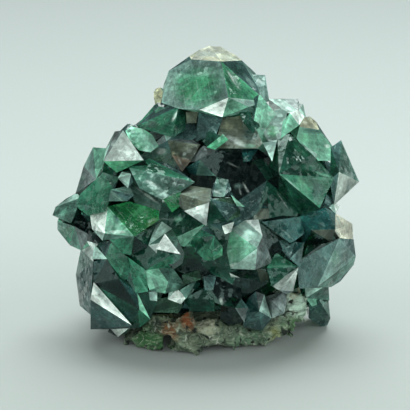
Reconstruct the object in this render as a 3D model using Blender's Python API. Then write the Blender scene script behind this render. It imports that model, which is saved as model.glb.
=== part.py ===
"""Green fluorite specimen: octahedral crystals grown together on a piece of host rock.

Units are metres, +Z is up, +Y points away from the front, and the specimen stands on z = 0.
Places are given as they are seen from the front, in steps of 0.4 mm to the right and down, with a third
number in millimetres that says how far the place stands forward, towards the viewer.
"""

import math
import random

import bmesh
import bpy
import numpy as np
from mathutils import Euler, Vector

MM = 0.001
STEP = 0.4 * MM  # one step of the front view: the specimen is 305 steps, or 122 mm, wide
VIEW_MIDDLE = (205, 205)  # the place in the front view that the eye looks at
VIEW_TILT = math.radians(15)  # the front view looks down by this much
VIEW_DISTANCE = 1.5  # from the eye to that place
MIDDLE = Vector((-0.33, -1.13, 51.1)) * MM  # that place in the specimen's own axes

GAP = 0.3 * MM  # clearance between the crystals and the rock that carries them
OVERLAP = 1.03  # growth of each crystal about its middle, so that neighbours run into each other

# The crystals that are seen from the front. Each starts with its buried end, and the others are its corners.
# A corner without a third number lies in the plane of the crystal's first three corners.
CRYSTALS = {
    "crown": [
        (210, 90, -25), (170, 71, 7), (228, 97, 24), (163, 102, 14), (192, 60), (221, 62), (200, 109), (180, 108),
        (165, 85, 8), (190, 57, 2), (200, 50.5, -3), (210, 47, -7), (220, 47.5, -7), (235, 56, -2), (241, 61, 2),
        (180, 64, 4), (254, 73, -1), (265, 101, 8), (257, 110, 15), (248, 106, 18), (236, 116, 17), (222, 116, 20),
    ],
    "crown_wedge": [
        (257, 92, -14), (243, 79, 6), (249, 74.5, 3), (265, 75.5, 0), (267, 90, 2), (269, 101, 7), (264, 102, 10),
    ],
    "stained_knob": [
        (176, 96, 2), (154, 92, 5), (156, 89, 4), (160, 87.5, 5), (163, 91, 8), (162, 98, 10), (160, 104, 11),
        (155.5, 104.5, 7), (154, 98, 7),
    ],
    "left_shoulder": [
        (165, 124, -10), (155, 105, 8), (178, 107, 18), (152, 130, 17), (163, 103), (172, 137), (137, 126, 11),
        (186, 112, 15), (184, 130, 20),
    ],
    "tan_bit": [(191, 117, 8), (186, 112, 18), (198, 111, 19), (196, 123, 21), (187, 123, 20)],
    "grey_blue": [(208, 126, 5), (199, 111, 20), (223, 117, 19), (216, 134, 25), (196, 141, 26)],
    "crackled": [
        (238, 135, -5), (223, 117, 18), (257, 148, 27), (215, 148, 28), (236, 116), (247, 111), (262, 143),
        (235, 158, 17),
    ],
    "crackled_shade": [(250, 122, 2), (239, 113, 19), (250, 108, 15), (260, 126, 18), (252, 133, 24), (243, 122, 23)],
    "crackled_green": [(212, 142, 10), (207, 147, 29), (223, 134, 26), (228, 140, 28), (215, 149.5, 30)],
    "dark_wedge": [(209, 139, 10), (200, 137, 24), (210, 131, 25), (220, 136, 26), (207, 147, 28)],
    "grey_slab": [(203, 152, 8), (190, 157, 25), (203, 146, 26), (218, 149, 28), (200, 161, 30), (190, 162, 27)],
    "brown_grey": [
        (182, 153, 2), (168, 141, 19), (200, 145, 25), (182, 171, 30), (188, 137, 18), (191, 160, 29),
        (172, 155, 25),
    ],
    "dark_middle": [
        (213, 165, 0), (200, 160, 31), (217, 177, 28), (187, 167, 27), (195, 182, 25), (218, 149, 26),
        (241, 149, 18), (239, 163, 21), (227, 176, 25),
    ],
    "overhang": [(252, 156, 4), (241, 150, 23), (258, 149, 22), (268, 157, 21), (250, 161, 27), (239, 163, 24)],
    "overhang_side": [(262, 168, 2), (254, 163, 21), (263, 157, 22), (271, 170, 23), (268, 183, 20), (258, 178, 18)],
    "grey_dart": [(270, 148, 5), (263, 143, 24), (277, 140, 24), (272, 161, 30), (267, 152, 24)],
    "green_lens": [
        (142, 140, -2), (126, 131, 14), (158, 146, 20), (139, 150, 21), (132, 127), (143, 129), (152, 135),
        (150, 152), (130, 141), (128, 147, 14),
    ],
    "lens_behind": [(132, 136, -10), (117, 134, 8), (128, 123.5, 6), (137, 125.5, 9), (144, 130, 13), (126, 133, 13)],
    "frosted": [
        (122, 152, -6), (123, 131, 18), (104, 161, 22), (143, 160, 26), (115, 132, 11), (107, 147, 14),
        (150, 168, 21), (117, 172, 20),
    ],
    "left_corner": [
        (98, 170, -14), (93, 148, 3), (106, 149, 10), (104, 162, 15), (96, 179, 16), (84, 198, 7), (76, 193, 3),
        (84, 166, 3), (82, 175, 1), (100, 186, 10),
    ],
    "left_green": [
        (97, 195, -10), (103, 173, 18), (109, 200, 25), (79, 208, 13), (112, 188), (105, 211), (88, 215), (77, 204),
        (80, 195), (119, 178, 22),
    ],
    "left_grey": [(120, 195, 4), (111, 190, 25), (128, 186, 27), (134, 195, 30), (127, 201, 30), (109, 201, 26)],
    "pale_block": [(126, 181, 6), (118, 178, 23), (122, 172, 22), (131, 174, 25), (133, 182, 27), (128, 188, 28)],
    "big_left": [
        (160, 180, -5), (130, 168, 24), (194, 182, 32), (162, 199, 36), (140, 188), (181, 191), (150, 159, 20),
        (170, 165, 23),
    ],
    "emerald_strip": [(171, 201, 8), (163, 199, 33), (181, 191, 33), (180, 206, 33), (172, 212, 32), (160, 212, 31)],
    "tan_coated": [
        (196, 198, 10), (181, 194, 35), (211, 189, 33), (209, 203, 40), (191, 186, 31), (211, 199, 38),
        (186, 211, 39), (179, 204, 36),
    ],
    "white_triangle": [(199, 209, 24), (184.5, 211, 40), (209, 202.5, 41), (206, 225.5, 45)],
    "olive_grey": [
        (225, 208, 10), (211, 199, 38), (220, 196, 35), (231, 198, 35), (240, 206, 36), (240, 216, 38),
        (227, 221, 41), (208, 224, 42),
    ],
    "pale_blue": [
        (221, 187, 8), (212, 190, 34), (217, 177, 30), (228, 180, 30), (231, 190, 33), (224, 197, 36), (213, 196, 36),
    ],
    "bright_edge": [(237, 204, 20), (231, 195, 33), (245, 207, 36), (243, 213, 38), (237, 206, 38)],
    "slate": [(258, 195, 3), (249, 180, 21), (266, 180, 24), (268, 208, 31), (257, 208, 30), (250, 197, 27)],
    "brown_chip": [(262, 213, 12), (254, 209, 30), (268, 206, 30), (269, 218, 31), (254, 220, 34)],
    "right_star": [
        (303, 175, -20), (279.5, 174, 35), (290, 135, 19), (278, 139, 20), (270, 166, 24), (312, 155, 20),
        (333, 178, 17), (319, 207, 26), (303, 216, 20), (279, 200, 20),
    ],
    "right_point": [
        (331, 176, -22), (341, 141, 5), (358.5, 181.5, -4), (334, 204.5, 12), (330, 180, 16), (331, 148, 8),
        (339, 172, 14),
    ],
    "right_light": [
        (312, 145, -14), (297, 138, 18), (319, 130, 8), (312, 160, 18), (300, 127), (327, 140), (332, 146), (331, 160),
        (305, 148), (303, 118, 8), (310, 117, 5), (316, 122, 4),
    ],
    "bright_left": [
        (273, 125, -10), (258, 118, 12), (287, 112, 12), (273, 141, 21), (266, 111, 8), (281, 109), (281, 138),
        (267, 140),
    ],
    "bright_right": [
        (292, 122, -8), (283, 122, 16), (290, 113, 12), (298, 110, 9), (304, 117, 9), (299, 125, 13), (281, 138, 21),
    ],
    "top_plates": [
        (284, 106, -18), (269, 99, 3), (283, 99.5, 2), (297.5, 99, -1), (299, 104, 2), (298, 111, 8), (288, 113, 11),
        (270, 109, 9),
    ],
    "top_chip": [(299, 110, -10), (297, 104, 2), (303, 104, 0), (306, 117.5, 3), (298, 112, 8)],
    "teal_ledge": [
        (318, 226, -8), (299, 217, 22), (325, 208, 14), (335, 213, 12), (335, 229, 18), (312, 230, 26),
        (303, 246, 19), (331, 242, 14),
    ],
    "right_tan": [
        (338, 230, -14), (334, 213, 12), (345, 220, 5), (352, 224, 1), (353, 242, 1), (342, 241, 9),
        (334, 230, 17), (329, 243, 5),
    ],
    "right_tall": [
        (322, 262, -14), (339, 239, 13), (318, 286, 22), (299, 272, 28), (320, 246), (298, 262), (300, 288),
        (355, 257, -1), (353, 265, -1), (345, 272, 3), (340, 281, 5), (331, 286.5, 11), (353, 240, 1),
    ],
    "right_chip": [(333, 209, -4), (329, 207, 13), (334, 203, 10), (339.5, 206, 6), (336, 214, 12)],
    "small_pane": [(293, 251, 6), (282, 250, 31), (295, 242, 28), (304, 243, 26), (300, 267, 31), (290, 259, 34)],
    "pink_shade": [(277, 243, 6), (262, 240, 28), (275, 232, 24), (291, 243, 26), (283, 250, 31), (272, 255, 32)],
    "teal_middle": [
        (284, 226, 2), (269, 215, 27), (300, 217, 23), (304, 233, 23), (291, 243, 27), (275, 233, 28), (262, 222, 32),
    ],
    "white_wedge": [(287, 281, 8), (271, 285, 31), (298, 268, 32), (293, 291, 37), (287, 294, 36), (279, 290, 35)],
    "green_pane": [(281, 268, 8), (267, 268, 33), (276, 253, 31), (298, 267, 30), (272, 286, 33)],
    "middle_large": [
        (248, 245, 4), (231, 230, 37), (245, 221, 37), (258, 220, 38), (272, 262, 31), (255, 269, 41), (257, 248, 45),
        (231, 268, 36), (227, 250, 36), (262, 236, 43),
    ],
    "white_patch": [(228, 229, 20), (222, 226, 37), (234, 222, 36), (231, 232, 40), (225, 234, 39)],
    "middle_green": [
        (204, 243, 6), (187, 238, 34), (192, 226, 32), (206, 225, 35), (214, 236, 41), (222, 247, 39),
        (222, 255, 37), (213, 260, 37), (205, 260, 37), (197, 252, 37),
    ],
    "pale_tip": [(168, 240, 20), (165, 234, 40), (156, 249, 42), (180, 254, 44)],
    "pale_tip_body": [
        (166, 247, 6), (149, 245, 36), (156, 226, 32), (162, 222, 33), (172, 229, 35), (178, 240, 37), (184, 253, 37),
        (182, 263, 37), (173, 269, 37),
    ],
    "green_belly": [
        (157, 258, 4), (129, 256, 30), (148, 245, 34), (173, 254, 40), (184, 256, 36), (182, 264, 35), (173, 270, 35),
        (144, 271, 34),
    ],
    "glow": [
        (127, 222, -8), (108, 207, 22), (158, 211, 31), (134, 236, 37), (105, 233), (129, 202), (158, 220),
        (144, 229), (91, 216, 15), (93, 229, 21), (103, 240, 29), (109, 232, 30),
    ],
    "glow_under": [
        (130, 244, 4), (105, 233, 30), (134, 236, 37), (131, 255, 34), (122, 253, 32), (111, 242, 30), (155, 226, 33),
        (148, 246, 34),
    ],
    "lobe_high": [
        (98, 208, -12), (53, 215, -3), (56, 207, -4), (64, 204, -1), (66, 199, -2), (77, 193, 3), (80, 198, 8),
        (76, 211, 12), (71, 223, 10),
    ],
    "lobe_between": [
        (100, 222, -8), (58.5, 219, -5), (60, 225, -5), (72, 212, 5), (86, 210, 9), (93, 222, 12), (90, 236, 11),
        (76, 230, 6),
    ],
    "lobe_low": [
        (98, 234, -12), (58, 221, -1), (58, 230, -1), (66, 238, 2), (70, 245, 4), (81, 250, 10), (92, 244, 15),
        (91, 236, 17), (75, 227, 13),
    ],
    "dark_spike": [(95, 240, 0), (89, 230, 17), (104, 240, 25), (98, 244, 25), (93, 251, 20), (87, 241, 15)],
    "left_wall": [
        (95, 280, -16), (95, 246, 18), (81, 250, 9), (80, 266, 6), (76, 275, 4), (80, 290, 6), (80, 305, 7),
        (92, 315, 12), (97, 301, 20), (97, 262, 21), (93, 262, 23), (91, 300, 21),
    ],
    "left_dark": [
        (112, 288, -10), (94, 262, 23), (130, 324, 25), (94, 284, 25), (107, 260, 27), (119, 279, 31),
        (136, 292, 32), (139, 309, 30),
    ],
    "left_streak": [
        (106, 309, -10), (94, 283, 26), (131, 325, 26), (128, 328, 22), (106, 329, 12), (91, 329, 8), (91, 300, 21),
    ],
    "left_foot": [(118, 330, -4), (108, 332, 8), (118, 337, 10), (126, 333, 14), (130, 327, 19), (110, 328, 13)],
    "left_triangle": [(98, 253, 6), (95, 245, 22), (107, 259, 27), (92, 259, 22)],
    "slant": [
        (116, 261, 4), (97, 243, 22), (112, 241, 28), (127, 258, 33), (132, 279, 32), (120, 279, 30), (106, 257, 27),
    ],
    "teal_streak": [(137, 275, 6), (126, 256, 32), (145, 270, 35), (148, 291, 36), (136, 293, 33), (127, 280, 31)],
    "light_green": [
        (163, 280, 8), (143, 271, 34), (158, 268, 35), (173, 269, 37), (185, 285, 34), (178, 290, 35), (165, 293, 38),
        (150, 290, 36), (168, 282, 41),
    ],
    "chip_pale": [(177, 296, 16), (169, 293, 36), (177, 289, 35), (186, 297, 35), (181, 304, 35), (168, 299, 37)],
    "chip_olive": [(188, 289, 16), (197, 280, 34), (180, 290, 37), (186, 299, 37), (200, 284, 33)],
    "chip_blue": [(185, 303, 16), (181, 298, 34), (189, 299, 34), (189, 308, 33), (182, 308, 33), (185, 303, 36)],
    "chip_white": [(153, 295, 16), (149, 292, 35), (157, 291, 36), (157, 301, 35), (150, 300, 34)],
    "teal_low": [
        (142, 306, 6), (136, 290, 32), (151, 291, 34), (157, 303, 34), (150, 319, 31), (140, 327, 27), (130, 328, 24),
        (138, 308, 30),
    ],
    "teal_ridge": [(168, 304, 12), (154, 300, 34), (170, 297, 36), (183, 305, 34), (178, 313, 31), (154, 312, 31)],
    "dark_band": [(192, 277, 14), (182, 275, 34), (199, 270, 33), (201, 279, 36), (184, 285, 35), (178, 280, 34)],
    "dark_blue": [
        (222, 289, 6), (203, 277, 34), (218, 273, 31), (240, 277, 30), (241, 300, 32), (222, 305, 34), (206, 298, 34),
    ],
    "blue_pane": [(210, 283, 16), (204, 278, 37), (216, 276, 37), (213, 290, 39), (205, 290, 37)],
    "low_teal": [(200, 299, 8), (185, 298, 34), (203, 289, 35), (214, 300, 36), (214, 311, 32), (190, 311, 31)],
    "low_round": [
        (234, 310, 8), (221, 305, 33), (228, 297, 32), (241, 299, 33), (248, 308, 33), (244, 322, 32), (230, 325, 32),
        (221, 319, 31), (235, 308, 39),
    ],
    "low_green": [
        (256, 312, 6), (249, 298, 31), (256, 292, 30), (264, 295, 31), (271, 318, 30), (262, 330, 28), (244, 327, 29),
        (242, 314, 31), (259, 311, 38),
    ],
    "low_grey": [
        (275, 303, 6), (265, 297, 29), (284, 291, 27), (287, 300, 27), (284, 313, 27), (272, 318, 29), (272, 301, 34),
    ],
    "under_middle": [(250, 276, 8), (230, 273, 34), (256, 267, 36), (271, 275, 31), (262, 288, 28), (235, 285, 29)],
    "hanging_block": [
        (300, 282, -20), (305, 286, 12), (328, 284, 4), (329, 300, -3), (312, 306, 2), (306, 298, 8),
    ],
    "hanging_foot": [
        (300, 290, -26), (328, 298, -5), (330, 318, -9), (327, 325, -14), (322, 326, -14), (309, 318, -8),
        (309, 303, 0), (319, 300, 3), (326, 297, -24), (312, 316, -25),
    ],
}

# The specimen's outline as seen from the front, clockwise from the upper left.
OUTLINE = [
    (155, 105), (165, 82), (180, 64), (210, 47), (241, 60), (265, 76), (270, 99), (298, 99), (319, 129), (341, 141),
    (358, 181), (334, 204), (352, 224), (355, 257), (331, 286), (328, 320), (300, 322), (270, 341), (232, 347),
    (172, 354), (135, 343), (91, 329), (76, 275), (81, 250), (58, 230), (56, 207), (77, 193), (93, 148), (118, 134),
]

# The massive fluorite that the crystals grow from: an ellipsoid, by its place and half its size in mm, joined with
# a lump that lies behind the seen corners, as these are drawn towards the middle.
GROUND_PLACE = (207, 212, -8)
GROUND_HALF_SIZE = (51, 31, 45)
GROUND_CORNERS = 90
DRAWN_IN = 0.83

# Crystals of the sides and the back, which the photograph doesn't show.
OTHER_CRYSTALS = 64
SMALLEST_EDGE, LARGEST_EDGE = 16 * MM, 32 * MM
MOST_TIP_CUT = 0.22
FOREMOST, REARMOST = 8, -30  # how far forward such a crystal's middle lies, in mm

# The host rock, as broken lumps: the place of each, then half its width, depth and height in mm, and its corners.
ROCK_LUMPS = [
    ((205, 285, -16), (45, 30, 24), 70),
    ((205, 200, -37), (38, 13, 42), 60),
    ((188, 136, -30), (15, 9, 24), 30),
    ((289, 313, 7), (7, 9, 6), 14),
    ((168, 232, -42), (14, 7, 13), 22),
    ((238, 182, -43), (14, 7, 14), 22),
    ((206, 264, -45), (17, 7, 9), 22),
    ((243, 238, -42), (13, 7, 12), 20),
    ((186, 172, -41), (12, 7, 12), 20),
    ((148, 280, -30), (15, 10, 10), 22),
    ((262, 278, -32), (14, 10, 11), 22),
    ((140, 335, 8), (8, 10, 6), 14),
    ((152, 341, 13), (10, 11, 6), 18),
    ((160, 323, 18), (9, 10, 6), 18),
    ((176, 333, 21), (9, 9, 8), 18),
    ((192, 322, 22), (8, 9, 6), 16),
    ((189, 343, 15), (12, 12, 6), 20),
    ((210, 330, 19), (9, 10, 8), 18),
    ((228, 335, 16), (10, 12, 6), 18),
    ((247, 340, 12), (9, 12, 5), 16),
    ((263, 334, 10), (9, 12, 5), 16),
    ((279, 324, 7), (9, 12, 6), 18),
    ((296, 305, 9), (6, 10, 7), 16),
    ((296, 313, 3), (5, 9, 5), 14),
]
BLOCK = 0.2  # size of the block that cuts the rock off flat

CRYSTAL_CHANCE, ROCK_CHANCE = 11, 5  # what the chance shapes start from
chance = random.Random(CRYSTAL_CHANCE)


def corner_points(corners):
    """The corners as points in the specimen's own axes. A corner with two numbers gets its third from the plane."""
    plane = np.linalg.solve([[x, y, 1] for x, y, _ in corners[:3]], [depth for _, _, depth in corners[:3]])
    placed = [corner if len(corner) == 3 else (*corner, plane @ (*corner, 1)) for corner in corners]
    return [in_own_axes(*corner) for corner in placed]


def in_own_axes(across, down, forward):
    """A place in the front view as a point in the specimen's own axes."""
    forward *= MM
    scale = STEP * (1 - forward / VIEW_DISTANCE)
    right, up = (across - VIEW_MIDDLE[0]) * scale, (VIEW_MIDDLE[1] - down) * scale
    sine, cosine = math.sin(VIEW_TILT), math.cos(VIEW_TILT)
    return MIDDLE + Vector((right, up * sine - forward * cosine, up * cosine + forward * sine))


def in_front_view(point):
    """Where a point of the specimen is seen in the front view: how far across, down and forward."""
    sine, cosine = math.sin(VIEW_TILT), math.cos(VIEW_TILT)
    right, back, high = point - MIDDLE
    up, forward = back * sine + high * cosine, high * sine - back * cosine
    scale = STEP * (1 - forward / VIEW_DISTANCE)
    return VIEW_MIDDLE[0] + right / scale, VIEW_MIDDLE[1] - up / scale, forward / MM


def inside_outline(across, down):
    """Whether a place in the front view is inside the specimen's outline: a ray from it crosses the outline oddly."""
    inside = False
    for (x1, y1), (x2, y2) in zip(OUTLINE, OUTLINE[1:] + OUTLINE[:1]):
        if (y1 > down) != (y2 > down) and across < x1 + (down - y1) / (y2 - y1) * (x2 - x1):
            inside = not inside
    return inside


def link_solid(name, shape, collection):
    mesh = bpy.data.meshes.new(name)
    bmesh.ops.recalc_face_normals(shape, faces=shape.faces)
    shape.to_mesh(mesh)
    shape.free()
    return helper_object(name, mesh, collection)


def solid_round(name, points, collection, growth=1.0):
    """The closed solid with flat faces that has these points as its corners, grown about their middle."""
    middle = sum(points, Vector()) / len(points)
    points = [middle + growth * (point - middle) for point in points]
    shape = bmesh.new()
    for point in points:
        shape.verts.new(point)
    hull = bmesh.ops.convex_hull(shape, input=shape.verts)
    inside = {part for part in hull["geom_interior"] + hull["geom_unused"] if isinstance(part, bmesh.types.BMVert)}
    bmesh.ops.delete(shape, geom=list(inside), context="VERTS")
    return link_solid(name, shape, collection)


def on_ellipsoid(direction, half_size):
    """The point of an ellipsoid's surface that lies in this direction from its centre."""
    return direction / math.sqrt(sum((part / half) ** 2 for part, half in zip(direction, half_size)))


def chance_direction():
    return Vector(chance.gauss(0, 1) for _ in range(3)).normalized()


def broken_lump(name, place, half_size, corners, collection, growth=0.0):
    """A lump whose flat facets join scattered points of an ellipsoid, as a broken stone has them."""
    centre = in_own_axes(*place)
    half_size = [half * MM for half in half_size]
    ways = [chance_direction() for _ in range(corners)]
    points = [on_ellipsoid(way, half_size) for way in ways]
    return solid_round(name, [centre + point + growth * way for point, way in zip(points, ways)], collection)


def cut_tips(tips, share):
    """The corners that an octahedron has when each tip is cut off by this share of its edges."""
    along = [(one, other) for one in tips for other in tips if (one - other).length > MM]
    shortest = min((one - other).length for one, other in along)
    return [one.lerp(other, share) for one, other in along if (one - other).length < 1.2 * shortest]


def other_crystals(collection):
    """Octahedra of chance size and turn on the massive fluorite, behind what the front view shows.

    Those that would bridge a notch of the outline are left out."""
    centre = in_own_axes(*GROUND_PLACE)
    half_size = [half * MM for half in GROUND_HALF_SIZE]
    made, tried = [], 0
    while tried < OTHER_CRYSTALS:
        edge = chance.uniform(SMALLEST_EDGE, LARGEST_EDGE)
        middle = centre + on_ellipsoid(chance_direction(), half_size) * (1 - 0.2 * edge / LARGEST_EDGE)
        turn = Euler([chance.uniform(0, math.tau) for _ in range(3)]).to_matrix()
        axes = [turn.col[i] * edge / math.sqrt(2) for i in range(3)]
        tips = cut_tips([middle + axis * side for axis in axes for side in (-1, 1)], chance.uniform(0, MOST_TIP_CUT))
        forward = in_front_view(middle)[2]
        if not REARMOST < forward < FOREMOST or min(tip.z for tip in tips) < MM:
            continue
        if not all(inside_outline(*in_front_view(tip)[:2]) for tip in tips):
            continue
        tried += 1
        between = [one.lerp(other, share) for one in tips for other in tips for share in (0.25, 0.5)]
        if all(inside_outline(*in_front_view(point)[:2]) for point in between):
            made.append(solid_round(f"other_crystal_{len(made)}", tips, collection))
    return made


def rock_lumps(growth, collection):
    """The lumps of the host rock, the same ones each time, grown outward by this much."""
    chance.seed(ROCK_CHANCE)
    return [broken_lump(f"rock_{i}", *lump, collection, growth) for i, lump in enumerate(ROCK_LUMPS)]


def join(name, first, others, operation="UNION"):
    """The first solid joined with the others, or cut by them, as one new mesh."""
    operands = new_collection(name)
    for other in others:
        for collection in other.users_collection:
            collection.objects.unlink(other)
        operands.objects.link(other)
    change = first.modifiers.new(name, "BOOLEAN")
    change.operation = operation
    change.operand_type = "COLLECTION"
    change.collection = operands
    graph = bpy.context.evaluated_depsgraph_get()
    return bpy.data.meshes.new_from_object(first.evaluated_get(graph))


def keep_outer_shell(mesh):
    """Keeps the largest closed shell: closed hollows between the crystals are filled, and loose crumbs go."""
    shape = bmesh.new()
    shape.from_mesh(mesh)
    bmesh.ops.remove_doubles(shape, verts=shape.verts, dist=0.002 * MM)
    shells, seen = [], set()
    for start in shape.verts:
        if start in seen:
            continue
        shell, queue = {start}, [start]
        while queue:
            for edge in queue.pop().link_edges:
                for corner in edge.verts:
                    if corner not in shell:
                        shell.add(corner)
                        queue.append(corner)
        seen |= shell
        shells.append(shell)
    largest = max(shells, key=len)
    bmesh.ops.delete(shape, geom=[corner for corner in shape.verts if corner not in largest], context="VERTS")
    bmesh.ops.dissolve_limit(shape, angle_limit=math.radians(0.3), verts=shape.verts, edges=shape.edges)
    bmesh.ops.triangulate(shape, faces=shape.faces)
    shape.to_mesh(mesh)
    shape.free()


def finish_material(name, colour, roughness, transmission=0.0):
    material = bpy.data.materials.new(name)
    material.use_nodes = True
    shader = material.node_tree.nodes["Principled BSDF"]
    shader.inputs["Base Color"].default_value = (*colour, 1)
    shader.inputs["Roughness"].default_value = roughness
    shader.inputs["Metallic"].default_value = 0
    shader.inputs["Transmission Weight"].default_value = transmission
    material.diffuse_color = (*colour, 1)
    return material


def helper_object(name, mesh, collection):
    obj = bpy.data.objects.new(name, mesh)
    collection.objects.link(obj)
    hide_helper(obj)
    return obj


def new_node(name, mesh, material, collection):
    mesh.materials.clear()
    mesh.materials.append(material)
    collection.objects.link(bpy.data.objects.new(name, mesh))


def hide_helper(obj):
    obj.hide_render = True
    obj.display_type = "WIRE"


def new_collection(name):
    collection = bpy.data.collections.new(name)
    bpy.context.scene.collection.children.link(collection)
    return collection


def table_cutter(collection):
    """A block that reaches from the table down, to cut the rock off flat."""
    shape = bmesh.new()
    bmesh.ops.create_cube(shape, size=2 * BLOCK)
    bmesh.ops.translate(shape, verts=shape.verts, vec=(0, 0, -BLOCK))
    return link_solid("below_table", shape, collection)


def clear_scene():
    for obj in list(bpy.data.objects):
        bpy.data.objects.remove(obj)


def main():
    clear_scene()
    parts = new_collection("fluorite_specimen")
    helpers = new_collection("helpers")

    chance.seed(CRYSTAL_CHANCE)
    crystals = [broken_lump("ground", GROUND_PLACE, GROUND_HALF_SIZE, GROUND_CORNERS, helpers)]
    seen_corners = []
    for name, (buried_end, *corners) in CRYSTALS.items():
        corners = corner_points(corners)
        seen_corners += corners
        crystals.append(solid_round(name, [in_own_axes(*buried_end)] + corners, helpers, OVERLAP))
    middle = in_own_axes(*GROUND_PLACE)
    crystals.append(solid_round("seen_ground", [middle.lerp(corner, DRAWN_IN) for corner in seen_corners], helpers))
    crystals += other_crystals(helpers)

    lumps = rock_lumps(0, helpers)
    rock = helper_object("rock_whole", join("rock_union", lumps[0], lumps[1:]), helpers)
    rock = join("rock_cut", rock, [table_cutter(helpers)], "DIFFERENCE")
    keep_outer_shell(rock)
    new_node("matrix_rock", rock, finish_material("matrix", (0.33, 0.38, 0.27), 0.85), parts)

    cluster = helper_object("cluster_whole", join("crystal_union", crystals[0], crystals[1:]), helpers)
    cluster = join("crystal_cut", cluster, rock_lumps(GAP, helpers), "DIFFERENCE")
    keep_outer_shell(cluster)
    new_node("crystal_cluster", cluster, finish_material("fluorite", (0.18, 0.42, 0.32), 0.12, 0.7), parts)


if __name__ == "__main__":
    main()
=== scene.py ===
"""A green fluorite specimen: clear to cloudy octahedral crystals grown together on rough host rock."""

import math

import bmesh
import bpy
import numpy as np
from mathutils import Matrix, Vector
from mathutils.bvhtree import BVHTree


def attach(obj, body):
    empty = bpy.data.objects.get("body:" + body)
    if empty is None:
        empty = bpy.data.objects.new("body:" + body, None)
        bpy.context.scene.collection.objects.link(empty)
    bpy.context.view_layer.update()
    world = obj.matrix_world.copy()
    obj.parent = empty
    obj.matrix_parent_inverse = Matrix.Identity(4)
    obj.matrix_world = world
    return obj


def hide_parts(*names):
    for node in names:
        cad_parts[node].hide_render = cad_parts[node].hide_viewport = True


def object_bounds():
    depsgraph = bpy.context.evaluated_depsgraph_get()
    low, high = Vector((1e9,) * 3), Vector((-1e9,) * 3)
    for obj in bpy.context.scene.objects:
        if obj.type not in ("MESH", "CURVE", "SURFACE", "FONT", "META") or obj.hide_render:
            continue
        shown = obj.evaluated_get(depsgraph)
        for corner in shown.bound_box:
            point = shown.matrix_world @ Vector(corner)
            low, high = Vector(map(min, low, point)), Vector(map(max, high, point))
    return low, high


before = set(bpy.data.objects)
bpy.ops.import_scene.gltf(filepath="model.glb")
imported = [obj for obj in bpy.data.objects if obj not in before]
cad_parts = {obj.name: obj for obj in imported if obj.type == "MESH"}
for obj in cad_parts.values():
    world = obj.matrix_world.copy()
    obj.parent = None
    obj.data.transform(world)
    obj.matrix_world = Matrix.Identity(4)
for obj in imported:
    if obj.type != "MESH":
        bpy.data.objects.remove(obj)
solid_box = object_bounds()

# The crystals: one mass of clear to cloudy green fluorite. Each flat face is a growth or cleavage face with
# a finish of its own: clear, frosted by fine etching, or coated with tan and rusty iron stain. Edges are
# slightly worn, and pale from the wear and from a painted glint.
MM = 0.001
STEP = 0.4 * MM  # one step of the front view, so the specimen is 305 steps wide
VIEW_MIDDLE = 205  # the front view's middle, across and down
VIEW_TILT = math.radians(15)  # the front view looks down by this much
EYE_DISTANCE = 1.5  # in metres, from the eye to the place that it looks at
LOOKED_AT = Vector((-0.33, -1.13, 51.1)) * MM  # that place, at the front view's middle
RIGHT = Vector((1, 0, 0))  # this and the next two are the front view's own directions
UP = Vector((0, math.sin(VIEW_TILT), math.cos(VIEW_TILT)))
FORWARD = Vector((0, -math.cos(VIEW_TILT), math.sin(VIEW_TILT)))

# A finish: the face's colour, and how cloudy it is, from 0 for clear to 1 for a dull coat. Two stand for
# light, not for the crystal's own colour: the palest is a painted glow and the darkest is painted shade.
FACE_FINISHES = {
    # painted light: the palest finish is a glow on faces turned away from the lamps, where light comes through
    # the crystal
    "painted_glow": ((0.90, 0.98, 0.92), 0.9),
    "white": ((0.68, 0.77, 0.71), 0.85),
    "ivory": ((0.58, 0.57, 0.46), 0.95),
    "frost": ((0.50, 0.575, 0.535), 0.8),
    "chalk": ((0.30, 0.345, 0.31), 0.85),
    "pale": ((0.34, 0.52, 0.45), 0.65),
    "mist": ((0.17, 0.28, 0.25), 0.6),
    "light": ((0.25, 0.62, 0.43), 0.8),
    "mint": ((0.20, 0.49, 0.34), 0.6),
    "glow": ((0.26, 0.78, 0.43), 0.5),
    "bright": ((0.12, 0.50, 0.27), 0.45),
    "emerald": ((0.03, 0.28, 0.09), 0.35),
    "green": ((0.042, 0.21, 0.125), 0.45),
    "deep": ((0.014, 0.08, 0.052), 0.3),
    "sea": ((0.03, 0.15, 0.145), 0.35),
    "teal": ((0.018, 0.085, 0.082), 0.3),
    "sage": ((0.075, 0.165, 0.13), 0.55),
    "slate": ((0.062, 0.13, 0.125), 0.45),
    "grey": ((0.15, 0.185, 0.18), 0.6),
    # painted shade: the darkest finish stands for the shade deep in pockets between crystals
    "pocket_shade": ((0.010, 0.020, 0.021), 0.2),
    "shade": ((0.008, 0.035, 0.02), 0.75),
    "olive": ((0.03, 0.075, 0.045), 0.5),
    "moss": ((0.13, 0.25, 0.07), 0.6),
    "brown": ((0.045, 0.05, 0.035), 0.7),
    "tan": ((0.07, 0.082, 0.056), 0.9),
    "cream": ((0.225, 0.225, 0.15), 0.95),
    "ochre": ((0.42, 0.41, 0.25), 0.8),
    "rust": ((0.075, 0.055, 0.038), 0.95),
}

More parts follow.
